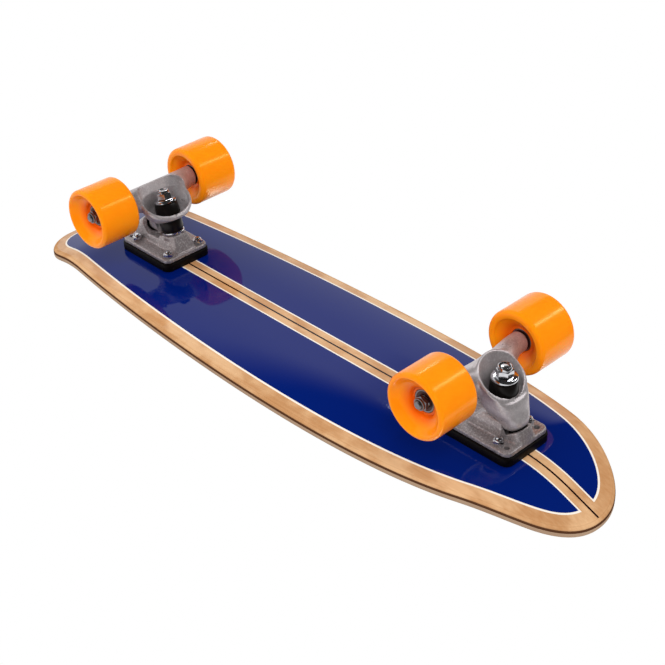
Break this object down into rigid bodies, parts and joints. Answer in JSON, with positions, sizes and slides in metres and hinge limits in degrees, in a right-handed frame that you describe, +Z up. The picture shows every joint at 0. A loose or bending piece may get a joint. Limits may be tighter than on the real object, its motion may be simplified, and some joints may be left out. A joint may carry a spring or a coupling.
{
  "type": "surf skateboard",
  "caption": "Kicktail surf skateboard with a concave deck on sprung carving trucks that steer as the board leans, and soft free-rolling wheels.",
  "frame": {"origin": "on the floor under the middle of the board, half way between the two axles", "axes": "+X towards the nose, +Y to the left of a rider who faces the nose, +Z up through the deck"},
  "size_m": [0.7444, 0.203, 0.1399],
  "materials": {
    "maple": "laminated maple, lacquered navy underneath, bare at the rail",
    "grip": "coarse black grit sheet",
    "cast": "as-cast, tumbled, matte",
    "steel": "bright zinc plate",
    "rubber": "moulded, matte black",
    "bushing": "cast urethane, satin black",
    "shield": "hardened rings with a dark pressed shield",
    "urethane": "glossy, slightly translucent orange urethane"
  },
  "bodies": {
    "board": {"deck": "maple", "grip_tape": "grip", "front_riser_pad": "rubber", "front_baseplate": "cast", "front_kingpin": "steel", "front_board_washer": "steel", "front_board_bushing": "bushing", "front_road_bushing": "bushing", "front_road_washer": "steel", "front_kingpin_nut": "steel", "front_pivot_cup": "rubber", "front_bolt_1": "steel", "front_bolt_2": "steel", "front_bolt_3": "steel", "front_bolt_4": "steel", "front_lock_nut_1": "steel", "front_lock_nut_2": "steel", "front_lock_nut_3": "steel", "front_lock_nut_4": "steel", "rear_riser_pad": "rubber", "rear_baseplate": "cast", "rear_kingpin": "steel", "rear_board_washer": "steel", "rear_board_bushing": "bushing", "rear_road_bushing": "bushing", "rear_road_washer": "steel", "rear_kingpin_nut": "steel", "rear_pivot_cup": "rubber", "rear_bolt_1": "steel", "rear_bolt_2": "steel", "rear_bolt_3": "steel", "rear_bolt_4": "steel", "rear_lock_nut_1": "steel", "rear_lock_nut_2": "steel", "rear_lock_nut_3": "steel", "rear_lock_nut_4": "steel"},
    "front_hanger": {"front_hanger": "cast", "front_axle": "steel", "front_left_bearing_sleeve": "steel", "front_left_axle_nut": "steel", "front_right_bearing_sleeve": "steel", "front_right_axle_nut": "steel"},
    "rear_hanger": {"rear_hanger": "cast", "rear_axle": "steel", "rear_left_bearing_sleeve": "steel", "rear_left_axle_nut": "steel", "rear_right_bearing_sleeve": "steel", "rear_right_axle_nut": "steel"},
    "front_left_wheel": {"front_left_wheel": "urethane", "front_left_outer_bearing": "shield", "front_left_inner_bearing": "shield"},
    "front_right_wheel": {"front_right_wheel": "urethane", "front_right_outer_bearing": "shield", "front_right_inner_bearing": "shield"},
    "rear_left_wheel": {"rear_left_wheel": "urethane", "rear_left_outer_bearing": "shield", "rear_left_inner_bearing": "shield"},
    "rear_right_wheel": {"rear_right_wheel": "urethane", "rear_right_outer_bearing": "shield", "rear_right_inner_bearing": "shield"}
  },
  "joints": [
    {"name": "front_steer", "type": "hinge", "parent": "board", "child": "front_hanger", "pos_m": [0.2779, 0, 0.0831], "axis": [-0.533, 0, -0.8461], "range_deg": [-20, 20], "stiffness_Nm_per_rad": 30, "deforming": ["front_board_bushing", "front_road_bushing"]},
    {"name": "rear_steer", "type": "hinge", "parent": "board", "child": "rear_hanger", "pos_m": [-0.2402, 0, 0.0744], "axis": [0.8364, 0, -0.5481], "range_deg": [-20, 20], "stiffness_Nm_per_rad": 30, "deforming": ["rear_board_bushing", "rear_road_bushing"]},
    {"name": "front_left_roll", "type": "hinge", "parent": "front_hanger", "child": "front_left_wheel", "pos_m": [0.234, 0.0665, 0.0325], "axis": [0, 1, 0], "continuous": true},
    {"name": "front_right_roll", "type": "hinge", "parent": "front_hanger", "child": "front_right_wheel", "pos_m": [0.234, -0.0665, 0.0325], "axis": [0, 1, 0], "continuous": true},
    {"name": "rear_left_roll", "type": "hinge", "parent": "rear_hanger", "child": "rear_left_wheel", "pos_m": [-0.234, 0.0665, 0.0325], "axis": [0, 1, 0], "continuous": true},
    {"name": "rear_right_roll", "type": "hinge", "parent": "rear_hanger", "child": "rear_right_wheel", "pos_m": [-0.234, -0.0665, 0.0325], "axis": [0, 1, 0], "continuous": true}
  ]
}
